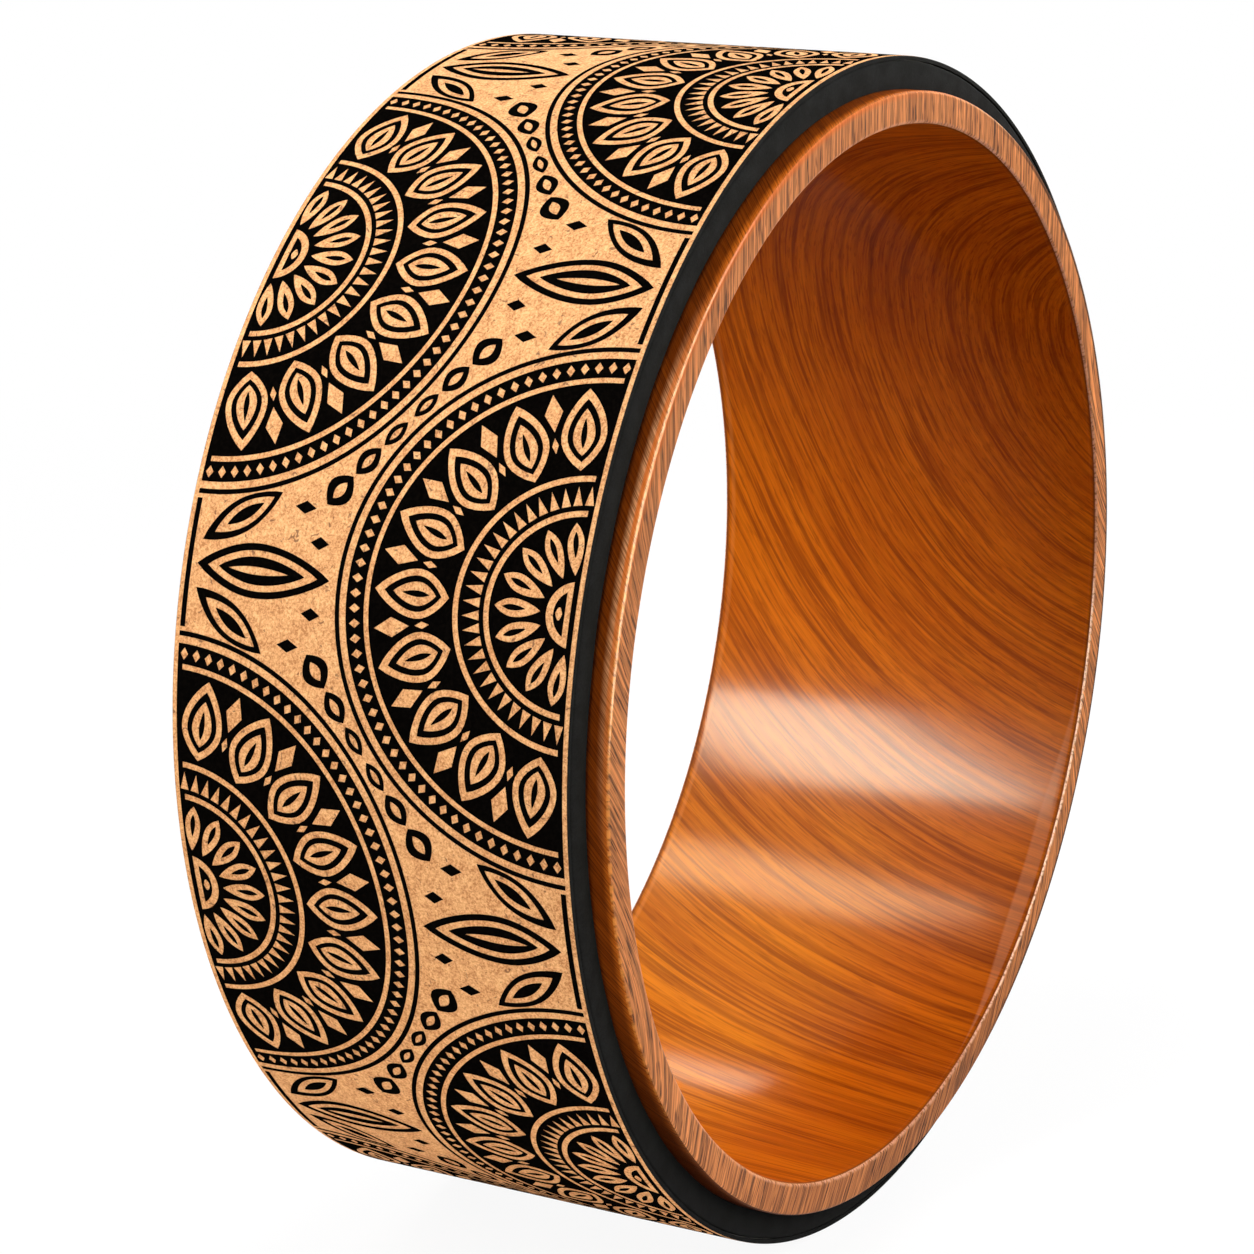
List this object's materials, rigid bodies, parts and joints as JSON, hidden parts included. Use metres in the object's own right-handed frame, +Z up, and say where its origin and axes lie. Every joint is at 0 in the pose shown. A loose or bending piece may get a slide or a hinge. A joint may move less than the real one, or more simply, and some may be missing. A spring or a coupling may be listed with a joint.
{
  "type": "yoga wheel",
  "caption": "Yoga wheel: a wide ring of bent, lacquered wood with rounded rims, wrapped in a black foam pad and a printed cork cover, for stretching and backbends.",
  "frame": {"origin": "centre of the wheel, on its axle line, midway between the rims", "axes": "+Y along the axle line from the front rim to the rear rim, +Z up, as the wheel stands on its tread"},
  "size_m": [0.33, 0.13, 0.33],
  "materials": {
    "wood_face": "gloss",
    "wood_rim": "satin",
    "wood_core": "matte",
    "foam": "matte",
    "cork": "matte",
    "tape": "satin"
  },
  "bodies": {
    "root": {"inner_veneer": "wood_face", "core_ply_1": "wood_core", "core_ply_2": "wood_core", "core_ply_3": "wood_core", "core_ply_4": "wood_core", "core_ply_5": "wood_core", "outer_veneer": "wood_face", "front_rim_ring": "wood_rim", "rear_rim_ring": "wood_rim", "pad_tape": "tape", "foam_pad": "foam", "cork_tape": "tape", "cork_cover": "cork"}
  },
  "joints": []
}
